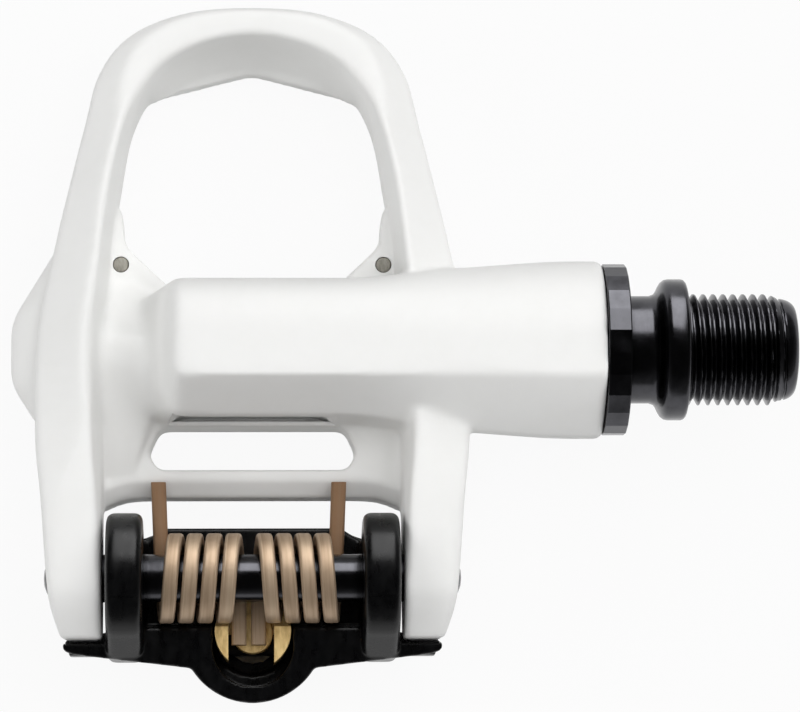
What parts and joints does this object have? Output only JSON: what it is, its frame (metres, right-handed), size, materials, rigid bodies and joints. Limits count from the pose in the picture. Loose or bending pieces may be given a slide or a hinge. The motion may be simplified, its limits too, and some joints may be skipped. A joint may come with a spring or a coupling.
{
  "type": "clipless road pedal",
  "caption": "Right-hand clipless road pedal with a nose loop, axle barrel, threaded spindle and a spring-loaded rear latch with adjustable tension.",
  "frame": {"origin": "middle of the bottom of the part's box, with the pedal lying on its shoe side", "axes": "+X along the spindle towards the crank, +Y towards the nose of the pedal, +Z out of its underside"},
  "size_m": [0.0998, 0.0908, 0.0274],
  "materials": {
    "body_white": "white moulded composite, satin gloss",
    "black_steel": "black oxide on turned steel",
    "latch_black": "black moulded composite, fine grain",
    "spring_bronze": "bronze-toned spring steel, drawn flat wire",
    "nut_brass": "machined brass",
    "bright_steel": "ground steel",
    "seal_rubber": "black nitrile rubber"
  },
  "bodies": {
    "pedal": {"pedal_body": "body_white", "wear_pin_outboard": "bright_steel", "wear_pin_inboard": "bright_steel", "cage_nut": "black_steel", "axle_seal": "seal_rubber", "needle_shell": "bright_steel", "bearing_outer_race": "bright_steel", "latch_pin": "black_steel", "latch_spring_left": "spring_bronze", "latch_spring_right": "spring_bronze"},
    "axle": {"spindle": "black_steel", "bearing_inner_race": "bright_steel", "lock_washer": "bright_steel", "lock_nut": "bright_steel"},
    "needles": {"needle_cage": "bright_steel"},
    "balls": {"ball_cage": "bright_steel"},
    "jaw": {"latch": "latch_black"},
    "screw": {"tension_screw": "bright_steel", "screw_clip": "bright_steel"},
    "slider": {"tension_nut": "nut_brass"}
  },
  "joints": [
    {"name": "spindle_spin", "type": "hinge", "parent": "pedal", "child": "axle", "pos_m": [0, -0.0008, 0.01652], "axis": [1, 0, 0], "continuous": true},
    {"name": "needle_cage_spin", "type": "hinge", "parent": "pedal", "child": "needles", "pos_m": [0, -0.0008, 0.01652], "axis": [1, 0, 0], "continuous": true},
    {"name": "ball_cage_spin", "type": "hinge", "parent": "pedal", "child": "balls", "pos_m": [0, -0.0008, 0.01652], "axis": [1, 0, 0], "continuous": true},
    {"name": "latch_pivot", "type": "hinge", "parent": "pedal", "child": "jaw", "pos_m": [-0.01905, -0.0299, 0.01652], "axis": [-1, 0, 0], "range_deg": [0, 20], "stiffness_Nm_per_rad": 2, "springref_deg": -34.38, "deforming": ["latch_spring_left", "latch_spring_right"]},
    {"name": "tension_screw_turn", "type": "hinge", "parent": "jaw", "child": "screw", "pos_m": [-0.01905, -0.0363, 0.01], "axis": [0, 0, 1], "range_deg": [-5, 725], "deforming": ["latch_spring_left", "latch_spring_right"]},
    {"name": "tension_nut_slide", "type": "slide", "parent": "jaw", "child": "slider", "axis": [0, 0, 1], "range_m": [-0.0014, 0], "deforming": ["latch_spring_left", "latch_spring_right"]}
  ],
  "couplings": [
    {"joint": "needle_cage_spin", "follows": "spindle_spin", "ratio": 0.4224},
    {"joint": "ball_cage_spin", "follows": "spindle_spin", "ratio": 0.4095},
    {"joint": "tension_screw_turn", "follows": "tension_nut_slide", "rad_per_m": -8976}
  ]
}
